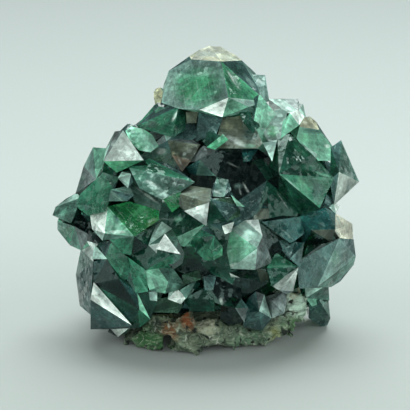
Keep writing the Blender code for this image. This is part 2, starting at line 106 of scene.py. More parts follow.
# Where faces of each finish are seen from the front, in steps across and down.
FINISHED_PLACES = {
    # painted light: faces that are seen glowing white
    "painted_glow": [(225, 108), (216, 108), (165, 245), (106, 306)],
    "white": [
        (98, 222), (228, 229), (225, 230), (178, 296), (178, 300), (119, 331), (295, 115), (300, 117),
        (336, 207), (95, 226),
    ],
    "ivory": [(344, 228), (340, 235), (340, 222)],
    "frost": [
        (122, 150), (199, 210), (288, 283), (283, 280), (253, 226), (92, 245), (88, 252), (233, 275),
        (154, 247), (92, 281),
    ],
    "chalk": [(345, 190)],
    "mist": [(198, 88), (205, 80), (342, 262), (259, 85), (256, 75), (266, 93), (250, 71), (92, 165)],
    "light": [(142, 142)],
    "pale": [
        (285, 103), (279, 103), (302, 112), (125, 178), (123, 174), (99, 247), (160, 294), (318, 140),
        (70, 199), (334, 209), (153, 296), (271, 150), (164, 85), (244, 101), (158, 232), (155, 230),
        (99, 174), (108, 146), (248, 233), (247, 262), (305, 147), (313, 153), (98, 254), (99, 234),
        (291, 295), (310, 291), (152, 297), (170, 294), (167, 137), (237, 202), (264, 307), (334, 186),
    ],
    "mint": [
        (270, 122), (263, 119), (292, 122), (300, 135), (243, 245), (238, 255), (160, 280), (156, 273),
        (160, 288), (240, 206), (188, 236), (97, 162), (101, 152), (295, 131), (158, 295), (312, 301),
        (291, 301), (298, 296), (299, 303), (142, 306), (284, 124), (115, 225), (200, 111),
    ],
    "bright": [(245, 88), (216, 142), (216, 145), (130, 166), (121, 164), (219, 254)],
    "emerald": [(135, 213), (172, 203), (174, 198)],
    "green": [
        (95, 195), (70, 228), (312, 190), (162, 121), (160, 164), (118, 243), (138, 280), (139, 272),
        (126, 271), (163, 263), (112, 262), (283, 262), (202, 234), (210, 251), (216, 247), (107, 167),
        (103, 170), (111, 172), (128, 248), (114, 252), (142, 318), (205, 249), (189, 243), (108, 171),
    ],
    "deep": [
        (300, 160), (308, 168), (181, 120), (181, 126), (209, 138), (206, 138), (205, 172), (263, 170),
        (205, 243), (155, 262), (86, 179), (335, 170), (290, 204), (287, 195), (300, 199), (145, 305),
        (248, 121), (243, 115), (145, 238), (137, 245), (131, 281), (122, 306), (182, 221), (164, 207),
        (215, 214), (218, 234), (217, 264), (278, 273), (200, 298), (197, 303), (206, 307), (194, 287),
        (135, 322), (138, 152), (275, 160), (228, 303), (253, 106), (242, 111), (254, 123), (141, 152),
        (114, 173), (67, 222), (113, 244), (127, 256), (121, 278), (147, 293), (183, 287), (187, 302),
        (212, 295), (294, 213),
    ],
    "teal": [
        (82, 293), (85, 290), (320, 268), (97, 268), (193, 168), (251, 306), (131, 293), (185, 306),
        (185, 311), (302, 255),
    ],
    "sea": [
        (320, 222), (254, 155), (244, 158), (284, 226), (298, 231), (305, 232), (300, 236), (250, 154),
        (312, 218),
    ],
    "sage": [
        (345, 165), (155, 178), (148, 201), (120, 195), (115, 197), (124, 190), (111, 179), (156, 153),
        (62, 225), (66, 216), (61, 211), (65, 208), (75, 240), (81, 237), (114, 236), (85, 262),
        (166, 272), (175, 281), (177, 285), (170, 288), (175, 235), (175, 243), (174, 259), (189, 290),
        (192, 282), (317, 293), (325, 306), (342, 269), (333, 279), (201, 175), (221, 186), (217, 189),
        (233, 115), (129, 172), (115, 188), (178, 256),
    ],
    "slate": [
        (145, 120), (208, 125), (213, 121), (242, 73), (254, 323), (130, 125), (124, 128), (258, 195),
        (292, 252), (288, 250), (298, 256), (227, 189), (230, 194), (225, 208), (337, 152), (328, 200),
        (324, 206), (87, 307), (104, 318), (118, 327), (210, 283), (207, 285), (320, 312), (311, 309),
        (320, 320), (192, 132), (178, 135), (130, 198), (130, 181), (171, 168), (284, 243), (286, 257),
        (183, 62), (255, 105), (254, 300), (249, 317), (264, 319), (105, 247), (323, 164), (327, 163),
        (328, 169), (342, 277), (310, 248), (207, 230), (155, 107), (159, 109), (115, 185), (87, 217),
        (213, 188), (322, 132), (329, 194), (334, 194), (331, 216), (349, 244), (209, 276), (217, 307),
        (241, 304), (314, 287), (326, 323),
    ],
    "grey": [
        (265, 252), (261, 260), (203, 154), (197, 156), (185, 141), (275, 232), (292, 102), (274, 305),
        (281, 304), (269, 305), (259, 298), (158, 142), (154, 134), (242, 312), (280, 297), (113, 141),
        (300, 106), (79, 184), (158, 136), (267, 158), (264, 239), (85, 245), (286, 291), (273, 296),
    ],
    # painted shade: faces seen in the dark pockets between crystals
    "pocket_shade": [
        (211, 162), (318, 238), (277, 243), (272, 240), (274, 250), (96, 237), (115, 285), (106, 273),
        (245, 280), (247, 274), (225, 290), (240, 172), (220, 159), (130, 300), (192, 265), (273, 183),
        (275, 177), (266, 203), (262, 289), (257, 284), (225, 310), (228, 317), (77, 216), (83, 225),
        (83, 230), (264, 268), (296, 282), (243, 294), (278, 217), (236, 149), (145, 245), (196, 152),
        (319, 248), (235, 301), (83, 189), (180, 170), (265, 161), (271, 179), (220, 197), (81, 214),
        (79, 225), (91, 238), (171, 265), (222, 294), (245, 298), (269, 291), (275, 291), (236, 318),
        (307, 308),
    ],
    "shade": [(283, 150)],
    "olive": [
        (235, 214), (226, 200), (192, 278), (194, 274), (168, 305), (171, 310), (160, 302), (148, 228),
        (166, 159),
    ],
    "brown": [
        (187, 153), (181, 202), (183, 191), (273, 105), (262, 213), (258, 213), (262, 275), (326, 233),
        (335, 235),
    ],
    "tan": [(240, 130), (184, 150), (195, 198), (191, 202), (189, 119), (194, 189), (193, 115)],
    "cream": [
        (215, 54), (203, 54), (230, 56), (217, 51), (212, 58), (193, 55), (236, 60), (309, 124),
        (304, 120), (300, 299), (315, 122), (298, 290),
    ],
    "rust": [(177, 157), (180, 163)],
}

# The finishes of the small faces between these: the place that they lie round in the front view, and how
# many steps they reach from it.
FINISHES_ROUND = [
    ((110, 195), 55, ["green", "sage", "mint", "green"]),
    ((290, 115), 38, ["pale", "mint", "bright", "sage"]),
    ((212, 130), 40, ["slate", "tan", "deep", "sage"]),
    ((305, 180), 40, ["green", "deep", "sage"]),
    # in this and the next three, the darkest finish is painted shade in the pockets
    ((243, 178), 38, ["pocket_shade", "slate", "deep", "teal"]),
    ((276, 238), 32, ["teal", "pocket_shade", "slate"]),
    ((238, 288), 50, ["pocket_shade", "teal", "slate", "pocket_shade"]),
    ((115, 290), 50, ["deep", "pocket_shade", "teal"]),
    ((168, 290), 32, ["deep", "green", "sage"]),
    ((205, 85), 50, ["bright", "mint"]),
    ((335, 215), 30, ["pale", "slate", "teal"]),
    ((157, 95), 10, ["ochre"]),
]
UNSEEN_FINISHES = ["green", "deep", "teal", "slate", "bright", "green", "sage", "mint", "deep"]

# Zones seen inside the faces: soft cores, veils, cracks and stains, and a few painted highlights. Each is
# the place of its middle in the front view, half its length and half its width in steps, its turn in degrees
# from straight across towards straight down, its finish, and how much it covers.
FACE_ZONES = [
    # the crown
    ((196, 87), 32, 24, 0, "bright", 1.0),
    ((195, 88), 26, 18, 0, "bright", 0.8),
    ((171, 90), 9, 22, 0, "pale", 0.6),
    ((215, 72), 14, 8, 20, "mint", 0.4),
    ((187, 72), 8, 4, 20, "slate", 0.6),
    ((188, 94), 11, 9, 0, "emerald", 0.3),
    ((203, 74), 24, 3, -5, "pale", 0.4),
    ((207, 104), 16, 5, -12, "mint", 0.8),
    ((176, 104), 9, 5, 20, "pale", 0.5),
    ((234, 80), 15, 4, 58, "pale", 0.8),
    ((231, 77), 10, 1.4, 60, "white", 0.8),
    ((229, 82), 10, 2.5, 58, "deep", 0.7),
    ((246, 94), 14, 6, 20, "green", 0.7),
    ((238, 70), 10, 6, 40, "deep", 0.4),
    ((251, 83), 10, 3, 52, "pale", 0.9),
    ((221, 57), 8, 3, 10, "ochre", 0.5),
    ((208, 50), 7, 3, -25, "tan", 0.5),
    ((232, 111), 8, 3, 0, "mint", 0.5),
    # the shoulder left of it, the lens and the frosted triangle
    ((160, 110), 12, 5, -35, "bright", 0.6),
    ((161, 121), 10, 7, 0, "bright", 0.45),
    ((175, 116), 9, 2.2, -62, "white", 0.8),
    ((152, 124), 8, 6, 0, "grey", 0.6),
    ((168, 126), 9, 5, -50, "deep", 0.6),
    ((136, 146), 13, 7, 25, "bright", 0.8),
    ((152, 141), 10, 4, 35, "pale", 0.7),
    ((131, 131), 6, 3, 0, "slate", 0.7),
    ((114, 143), 6, 4, -60, "frost", 0.6),
    ((120, 163), 6, 3, 20, "glow", 0.8),
    ((161, 151), 7, 5, 0, "frost", 0.8),
    # the left side
    ((102, 186), 10, 8, -40, "mint", 0.35),
    ((86, 207), 8, 5, 0, "slate", 0.5),
    # painted highlight: this zone and the next are the bright sheen on the face here
    ((158, 190), 14, 5, 38, "pale", 0.9),
    ((151, 183), 9, 3, 30, "frost", 0.5),
    ((140, 175), 12, 9, 0, "green", 0.6),
    ((178, 182), 12, 8, 0, "grey", 0.5),
    # painted highlight: a white line in that sheen
    ((148, 196), 18, 1.6, 35, "white", 0.7),
    ((112, 209), 13, 8, 20, "deep", 0.8),
    ((141, 212), 15, 8, 15, "glow", 0.4),
    ((152, 222), 10, 4, -35, "moss", 0.8),
    ((109, 222), 6, 12, 0, "light", 0.9),
    ((118, 232), 11, 2.5, 0, "frost", 0.8),
    ((141, 232), 9, 3, -20, "moss", 0.8),
    ((117, 218), 4, 9, 0, "sea", 0.8),
    ((125, 226), 7, 5, 20, "bright", 0.6),
    ((105, 298), 18, 5, 50, "grey", 0.6),
    ((116, 309), 20, 2.2, 50, "white", 0.9),
    ((98, 292), 8, 3, 60, "slate", 0.5),
    ((129, 315), 10, 7, 0, "teal", 0.8),
    ((110, 320), 12, 4, 40, "sage", 0.5),
    # the middle
    ((246, 188), 8, 1.4, 60, "white", 0.8),
    ((240, 191), 6, 1.2, 75, "white", 0.7),
    ((238, 186), 6, 4, 0, "pale", 0.6),
    ((217, 192), 6, 1.6, 20, "white", 0.8),
    ((178, 219), 6, 4, 0, "mint", 0.9),
    ((163, 201), 3, 2, 0, "white", 0.9),
    ((196, 238), 8, 7, 0, "green", 0.7),
    ((207, 256), 8, 7, 0, "bright", 0.7),
    ((233, 252), 7, 9, 0, "glow", 0.6),
    ((236, 243), 13, 9, 20, "bright", 0.7),
    ((235, 265), 9, 3, -10, "white", 0.8),
    ((228, 126), 8, 6, 0, "cream", 0.45),
    ((236, 141), 14, 4, 30, "frost", 0.7),
    ((251, 134), 12, 11, 0, "slate", 0.75),
    ((250, 146), 8, 3, 0, "mint", 0.5),
    ((287, 234), 10, 1.4, 42, "pale", 0.8),
    ((283, 253), 8, 4, 0, "sage", 0.5),
    ((245, 285), 8, 4, 10, "slate", 0.4),
    ((221, 302), 3, 6, 0, "white", 0.8),
    ((204, 191), 10, 4, 10, "cream", 0.3),
    ((177, 155), 7, 1.4, 62, "cream", 0.7),
    ((180, 162), 5, 1.2, 62, "frost", 0.6),
    ((174, 154), 4, 2, 62, "ochre", 0.5),
    ((233, 165), 8, 1.2, 25, "frost", 0.6),
    ((282, 200), 14, 1.0, 55, "frost", 0.6),
    # the right side
    ((273, 131), 8, 8, 0, "glow", 0.95),
    ((274, 113), 10, 4, -10, "white", 0.6),
    ((264, 128), 4, 7, -10, "green", 0.7),
    ((297, 113), 7, 5, -40, "white", 0.7),
    ((305, 138), 10, 6, 15, "glow", 0.4),
    ((312, 130), 13, 3, 12, "slate", 0.8),
    ((327, 146), 4, 3, 0, "white", 0.8),
    ((283, 150), 6, 16, 0, "deep", 0.4),
    ((300, 150), 12, 7, 40, "green", 0.6),
    ((306, 168), 14, 5, 0, "green", 0.8),
    ((322, 174), 14, 2, 18, "mint", 0.8),
    ((303, 185), 15, 9, 40, "bright", 0.9),
    ((301, 181), 8, 4, 50, "glow", 0.5),
    ((318, 201), 9, 4, 0, "mist", 0.4),
    ((317, 191), 8, 11, 20, "slate", 0.8),
    # painted highlight: a bright line along the edge here
    ((292, 184), 15, 1.5, 42, "pale", 0.8),
    ((339, 190), 12, 4, -70, "white", 0.4),
    ((352, 176), 8, 5, 60, "slate", 0.6),
    ((335, 258), 7, 10, 0, "mint", 0.7),
    ((346, 246), 8, 6, 0, "slate", 0.6),
    ((318, 236), 12, 3, 10, "slate", 0.5),
    ((318, 302), 8, 5, 30, "slate", 0.4),
]
SEWN_WITHIN = 0.001 * MM  # corners of the solid's triangles this close together are one
SAME_PLANE = math.radians(0.6)  # triangles that turn less than this from each other are one face
HIDDEN_BELOW = 0.2  # painted shade: a face open to less of its surroundings than this gets the darkest finish, unless a place names it
WORN_EDGE, WORN_ANGLE = 0.18 * MM, math.radians(8)  # width of the worn edges, and the least turn that has one
SMALLEST_ZONED = 12 * MM * MM  # smallest face that gets a zone of chance shape
CHANCE_ZONE_SHADES = [0.3, 0.5, 2.0, 2.6]  # how dark or light such a zone is beside its face
CHANCE_ZONE_COVER = 0.6  # how much it covers
ZONED_GRAIN, PLAIN_GRAIN = 0.65 * MM, 2.8 * MM  # longest edge of the mesh in the zones and outside them
MOST_HALVINGS = 7  # how many times an edge that is too long may be halved
SIDE_LIGHT, FARTHEST_SIDE = 0.35, 1.2  # painted light: how much lighter a face gets to one side, and how far out
SMALLEST_RIMMED, RIM_WIDTH = 4 * MM * MM, 2.5 * MM  # smallest face with a paler rim, and the widest rim
RIM_LIGHT, RIM_TINT = 1.2, [0.02, 0.035, 0.03]  # the share of its own paint that a rim gains, and the tint
EDGE_WEAR_AND_GLINT_GAIN, EDGE_WEAR_AND_GLINT_TINT = 0.35, [0.09, 0.14, 0.12]  # the same for a worn edge, which is pale from wear and from a painted glint
EDGE_CLOUD = 0.5  # how cloudy a worn edge is at least


def seen_from_eye(across, down):
    """The eye's place, and the direction from it to a place in the front view."""
    eye = LOOKED_AT + FORWARD * EYE_DISTANCE
    place = LOOKED_AT + (RIGHT * (across - VIEW_MIDDLE) + UP * (VIEW_MIDDLE - down)) * STEP
    return eye, (place - eye).normalized()


def in_front_view(point):
    """Where a point is seen in the front view: how far across, down and forward."""
    offset = point - LOOKED_AT
    forward = offset.dot(FORWARD)
    scale = STEP * (1 - forward / EYE_DISTANCE)
    return VIEW_MIDDLE + offset.dot(RIGHT) / scale, VIEW_MIDDLE - offset.dot(UP) / scale, forward


def finishes_near(point):
    """The finishes to choose from for a face whose middle is this point."""
    across, down, forward = in_front_view(point)
    if forward < 0:
        return UNSEEN_FINISHES
    shares = [math.dist((across, down), place) / reach for place, reach, _ in FINISHES_ROUND]
    nearest = min(range(len(shares)), key=shares.__getitem__)
    return FINISHES_ROUND[nearest][2] if shares[nearest] < 1 else UNSEEN_FINISHES


def merged_shape(node):
    """The node's triangles sewn together, with those that lie in one plane joined into one face."""
    shape = bmesh.new()
    shape.from_mesh(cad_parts[node].data)
    bmesh.ops.remove_doubles(shape, verts=shape.verts, dist=SEWN_WITHIN)
    bmesh.ops.dissolve_limit(shape, angle_limit=SAME_PLANE, verts=shape.verts, edges=shape.edges)
    shape.normal_update()
    return shape


def openness(tree, faces, reach=30 * MM, rays=48):
    """For each face, the share of directions out of its middle that meet no other crystal within reach."""
    chance = np.random.default_rng(4)
    ways = chance.normal(size=(rays, 3))
    ways /= np.linalg.norm(ways, axis=1)[:, None]
    free = []
    for face in faces:
        start = face.calc_center_median() + face.normal * 0.05 * MM
        outward = [Vector(way) if face.normal.dot(way) > 0 else -Vector(way) for way in ways]
        free.append(sum(tree.ray_cast(start, way, reach)[0] is None for way in outward) / rays)
    return np.array(free)


crystals = merged_shape("crystal_cluster")
crystals.faces.ensure_lookup_table()
face_tree = BVHTree.FromBMesh(crystals)
face_count = len(crystals.faces)
face_middles = np.array([face.calc_center_median() for face in crystals.faces])
face_normals = np.array([face.normal for face in crystals.faces])
face_areas = np.array([face.calc_area() for face in crystals.faces])
longest_edges = [max(face.edges, key=bmesh.types.BMEdge.calc_length).verts for face in crystals.faces]
face_edges = np.array([(second.co - first.co).normalized() for first, second in longest_edges])
face_outlines = [np.array([corner.co for corner in face.verts]) for face in crystals.faces]
face_paint = np.zeros((face_count, 4))  # colour, then cloudiness
face_chance = np.random.default_rng(9)
# Painted shade: each face starts darker the less open it is to the crystals round it, and darkest where it is
# hidden between them.
for number, (face, free) in enumerate(zip(crystals.faces, openness(face_tree, crystals.faces))):
    choice = finishes_near(face.calc_center_median())
    name = "pocket_shade" if free < HIDDEN_BELOW else choice[face_chance.integers(len(choice))]
    colour, cloud = FACE_FINISHES[name]
    brightness = (0.3 + 0.8 * free) * face_chance.uniform(0.8, 1.2)
    face_paint[number] = (*(Vector(colour) * brightness), cloud)


def face_seen_at(place):
    """The number of the face that is seen at a place in the front view, and the point on it."""
    point, _, number, _ = face_tree.ray_cast(*seen_from_eye(*place))
    return number, point


for name, places in FINISHED_PLACES.items():
    for place in places:
        number, _ = face_seen_at(place)
        if number is not None:
            face_paint[number] = (*FACE_FINISHES[name][0], FACE_FINISHES[name][1])

# Each zone as the face it lies in, its middle, its directions along and beside, half its sizes, and its
# paint.
zones = []
for place, half_length, half_width, turn, name, cover in FACE_ZONES:
    number, point = face_seen_at(place)
    if number is None:
        continue
    cosine, sine = math.cos(math.radians(turn)), math.sin(math.radians(turn))
    along, beside = RIGHT * cosine - UP * sine, -RIGHT * sine - UP * cosine
    zones.append((number, point, along, beside, half_length * STEP, half_width * STEP,
                  (*FACE_FINISHES[name][0], FACE_FINISHES[name][1]), cover))
zoned_faces = {zone[0] for zone in zones}
zones_of_face = {number: [zone for zone in zones if zone[0] == number] for number in zoned_faces}
for number in range(face_count):
    if number in zones_of_face or face_areas[number] < SMALLEST_ZONED:
        continue
    along = Vector(np.cross(face_normals[number], face_chance.normal(size=3))).normalized()
    beside = along.cross(Vector(face_normals[number]))
    reach = 0.5 * math.sqrt(face_areas[number])
    middle = Vector(face_middles[number]) + along * reach * face_chance.uniform(-0.5, 0.5)
    paint = face_paint[number] * [*[face_chance.choice(CHANCE_ZONE_SHADES)] * 3, 1]
    zones.append((number, middle, along, beside, reach * face_chance.uniform(0.7, 1.2),
                  reach * face_chance.uniform(0.15, 0.6), paint, CHANCE_ZONE_COVER))

face_layer = crystals.faces.layers.int.new("crystal_face")
worn_layer = crystals.faces.layers.float.new("worn_edge")
for number, face in enumerate(crystals.faces):
    face[face_layer] = number
worn = bmesh.ops.bevel(
    crystals, geom=[edge for edge in crystals.edges if edge.calc_face_angle(0) > WORN_ANGLE],
    offset=WORN_EDGE, segments=1, affect="EDGES", clamp_overlap=True,
)
for face in worn["faces"]:
    face[worn_layer] = 1
bmesh.ops.triangulate(crystals, faces=crystals.faces)


def longest_allowed(edge):
    """How long an edge of the mesh may stay: the finer grain inside or close to a zone of its face."""
    middle = (edge.verts[0].co + edge.verts[1].co) / 2
    for face in edge.link_faces:
        for _, point, along, beside, half_length, half_width, *_ in zones_of_face.get(face[face_layer], ()):
            offset = middle - point
            if math.hypot(offset.dot(along) / (half_length + PLAIN_GRAIN / 2),
                          offset.dot(beside) / (half_width + PLAIN_GRAIN / 2)) < 1 and not face[worn_layer]:
                return ZONED_GRAIN
    return PLAIN_GRAIN


for _ in range(MOST_HALVINGS):
    lengths = [(edge, edge.calc_length()) for edge in crystals.edges]
    coarse = [edge for edge, length in lengths if length > ZONED_GRAIN and length > longest_allowed(edge)]
    bmesh.ops.subdivide_edges(crystals, edges=coarse, cuts=1)
    bmesh.ops.triangulate(crystals, faces=[face for face in crystals.faces if len(face.verts) > 3])
crystal_mesh = bpy.data.meshes.new("fluorite_crystals")
crystals.to_mesh(crystal_mesh)
crystals.free()


def array_of(values, name, width=1, kind=np.float32):
    """The named value of every item, as an array with this many columns."""
    found = np.empty(len(values) * width, kind)
    values.foreach_get(name, found)
    return found.reshape(-1, width) if width > 1 else found


def zone_cover(offsets, along, beside, half_length, half_width):
    """1 in an ellipse's middle, falling smoothly to 0 at its edge, for points at these offsets from it."""
    reach = np.hypot(offsets @ along / half_length, offsets @ beside / half_width)
    rise = np.clip((1 - reach) / 0.7, 0, 1)
    return rise * rise * (3 - 2 * rise)


def rippled(points):
    """An uneven value, about -1 to 1, at each point: the mean of nine waves 1.5 to 5 mm long."""
    chance = np.random.default_rng(7)
    ways = chance.normal(size=(9, 3))
    ways *= (2 * math.pi / (chance.uniform(1.5, 5, 9) * MM) / np.linalg.norm(ways, axis=1))[:, None]
    return 1.6 * np.sin(points @ ways.T + chance.uniform(0, 6, 9)).mean(axis=1)


def rim_cover(points, corners, width):
    """1 at the outline of a face with these corners, falling to 0 this far inside it, for its points."""
    spans = np.roll(corners, -1, axis=0) - corners
    offsets = points[:, None, :] - corners
    shares = np.clip((offsets * spans).sum(axis=2) / np.maximum((spans * spans).sum(axis=1), 1e-12), 0, 1)
    apart = np.linalg.norm(offsets - shares[:, :, None] * spans, axis=2).min(axis=1)
    return np.clip(1 - apart / width, 0, 1) ** 2


# Every corner of the mesh gets its face's paint, with painted light making it a little lighter to one side,
# then that of the face's zones, and is paler towards the rim of its face. Worn edges are paler still, from
# wear and from a painted glint.
corner_vertices = array_of(crystal_mesh.loops, "vertex_index", 1, np.int32)
corner_points = array_of(crystal_mesh.vertices, "co", 3)[corner_vertices]
corner_faces = np.repeat(array_of(crystal_mesh.attributes["crystal_face"].data, "value", 1, np.int32), 3)
corner_worn = np.repeat(array_of(crystal_mesh.attributes["worn_edge"].data, "value"), 3)
corner_offsets = corner_points - face_middles[corner_faces]
face_reach = 0.5 * np.sqrt(face_areas)
# painted light: each face is a little lighter towards a side picked at random, as where light falls across it
face_lights = np.cross(face_normals, face_chance.normal(size=(face_count, 3)))
face_lights /= np.linalg.norm(face_lights, axis=1)[:, None]
sway = (corner_offsets * face_lights[corner_faces]).sum(axis=1) / face_reach[corner_faces]
paint = face_paint[corner_faces]
paint[:, :3] *= np.exp(SIDE_LIGHT * np.clip(sway, -FARTHEST_SIDE, FARTHEST_SIDE))[:, None]
ripple = rippled(corner_points)
order = np.argsort(corner_faces, kind="stable")
starts = np.searchsorted(corner_faces[order], np.arange(face_count + 1))
for number, middle, along, beside, half_length, half_width, zone_paint, cover in zones:
    own = order[starts[number]:starts[number + 1]]
    share = cover * zone_cover(corner_points[own] - np.array(middle), along, beside, half_length, half_width)
    share *= np.clip(0.8 + 0.5 * ripple[own], 0, 1)
    paint[own] += share[:, None] * (np.array(zone_paint) - paint[own])
rim_strength = face_chance.uniform(0, 0.5, face_count)
for number in np.flatnonzero(face_areas > SMALLEST_RIMMED):
    own = order[starts[number]:starts[number + 1]]
    width = min(RIM_WIDTH, 0.6 * face_reach[number])
    share = rim_strength[number] * rim_cover(corner_points[own], face_outlines[number], width)
    paint[own, :3] += share[:, None] * (RIM_LIGHT * paint[own, :3] + RIM_TINT)
# painted glint: worn edges are paler, partly from wear and partly as a painted highlight
edge_wear_and_glint = corner_worn * np.random.default_rng(2).uniform(0.1, 1.0, face_count)[corner_faces]
paint[:, :3] += edge_wear_and_glint[:, None] * (EDGE_WEAR_AND_GLINT_GAIN * paint[:, :3] + EDGE_WEAR_AND_GLINT_TINT)
paint[:, 3] = np.maximum(paint[:, 3], EDGE_CLOUD * corner_worn)
painted = crystal_mesh.attributes.new("face_paint", "FLOAT_COLOR", "CORNER")
painted.data.foreach_set("color", paint.astype(np.float32).ravel())

# Every corner's place in its face: how far along the face's longest edge, how far across it, and a number
# for the face.
face_beside = np.cross(face_normals, face_edges)
in_face = np.column_stack([
    (corner_offsets * face_edges[corner_faces]).sum(axis=1),
    (corner_offsets * face_beside[corner_faces]).sum(axis=1),
    corner_faces * 0.37,
])
placed = crystal_mesh.attributes.new("place_in_face", "FLOAT_VECTOR", "CORNER")
placed.data.foreach_set("vector", in_face.astype(np.float32).ravel())
fluorite = bpy.data.objects.new("fluorite_crystals", crystal_mesh)
bpy.context.scene.collection.objects.link(fluorite)


def new_material(name):
    """A new material, and the tree that holds its nodes."""
    material = bpy.data.materials.new(name)
    material.use_nodes = True
    return material, material.node_tree


def added(tree, kind, inputs=(), **settings):
    """A new node with these settings. Each input named is set to a number or joined to another's output."""
    node = tree.nodes.new("ShaderNode" + kind)
    for name, value in settings.items():
        setattr(node, name, value)
    for name, value in dict(inputs).items():
        if isinstance(value, bpy.types.NodeSocket):
            tree.links.new(value, node.inputs[name])
        else:
            node.inputs[name].default_value = value
    return node


def spread(tree, value, low, high, to_low=0.0, to_high=1.0):
    """The value with its range from low to high drawn out over another range, and cut off at its ends."""
    ends = {"From Min": low, "From Max": high, "To Min": to_low, "To Max": to_high}
    return added(tree, "MapRange", {"Value": value, **ends}).outputs["Result"]


def drifting(tree, place, scale, detail=5.0, distortion=0.5):
    """Cloudy noise, with this many clouds to a metre."""
    settings = {"Vector": place, "Scale": scale, "Detail": detail, "Distortion": distortion}
    return added(tree, "TexNoise", settings).outputs["Fac"]


def product(tree, *values):
    """The values multiplied together."""
    whole = values[0]
    for value in values[1:]:
        step = added(tree, "Math", operation="MULTIPLY")
        tree.links.new(whole, step.inputs[0])
        if isinstance(value, float):
            step.inputs[1].default_value = value
        else:
            tree.links.new(value, step.inputs[1])
        whole = step.outputs["Value"]
    return whole


def thin_lines(tree, place, scale, width):
    """1 along the lines where drifting noise crosses its middle value, and 0 away from them."""
    away = added(tree, "Math", operation="SUBTRACT")
    tree.links.new(drifting(tree, place, scale, 3.0, 0.8), away.inputs[0])
    away.inputs[1].default_value = 0.5
    size = added(tree, "Math", operation="ABSOLUTE")
    tree.links.new(away.outputs["Value"], size.inputs[0])
    return spread(tree, size.outputs["Value"], 0, width, 1, 0)


def stained(tree, under, colour, share):
    """The colour under a stain, as far as the stain covers it."""
    mix = added(tree, "Mix", data_type="RGBA")
    tree.links.new(share, mix.inputs["Factor"])
    tree.links.new(under, mix.inputs["A"])
    mix.inputs["B"].default_value = (*colour, 1)
    return mix.outputs["Result"]


def part_of(tree, vector, axis):
    """One of a vector's three numbers."""
    return added(tree, "SeparateXYZ", {"Vector": vector}).outputs[axis]


def leaning(tree, cells, amount):
    """Each cell's chance vector as a small lean of the surface, the same all over the cell."""
    centred = added(tree, "VectorMath", operation="SUBTRACT")
    tree.links.new(cells, centred.inputs[0])
    centred.inputs[1].default_value = (0.5, 0.5, 0.5)
    inputs = {"Vector": centred.outputs["Vector"], "Scale": amount}
    return added(tree, "VectorMath", inputs, operation="SCALE").outputs["Vector"]


# What is seen inside the crystal, over each face's own paint.
INNER_TINT = (0.05, 0.13, 0.13)
VEIL_COLOUR = (0.34, 0.52, 0.43)
CRACK_COLOUR, DARK_CRACK_COLOUR = (0.42, 0.60, 0.52), (0.01, 0.03, 0.025)
PALE_STEP_COLOUR = (0.40, 0.58, 0.50)
LARGE_FACETS, SMALL_FACETS = 180, 560  # how many inner facets there are to a metre
LARGE_LEAN, SMALL_LEAN = 0.2, 0.28  # how far the surface leans over a large and a small facet
GROWTH_LINES = (60, 1100, 1)  # how fast these change along a face, across it and from face to face
FLUORITE_IOR = 1.434
GLOSS_TINT = (0.62, 0.90, 0.82, 1)
ABSORBED_TO, ABSORPTION = (0.25, 0.80, 0.60, 1), 90  # the colour left deep inside, and how dense the colour is


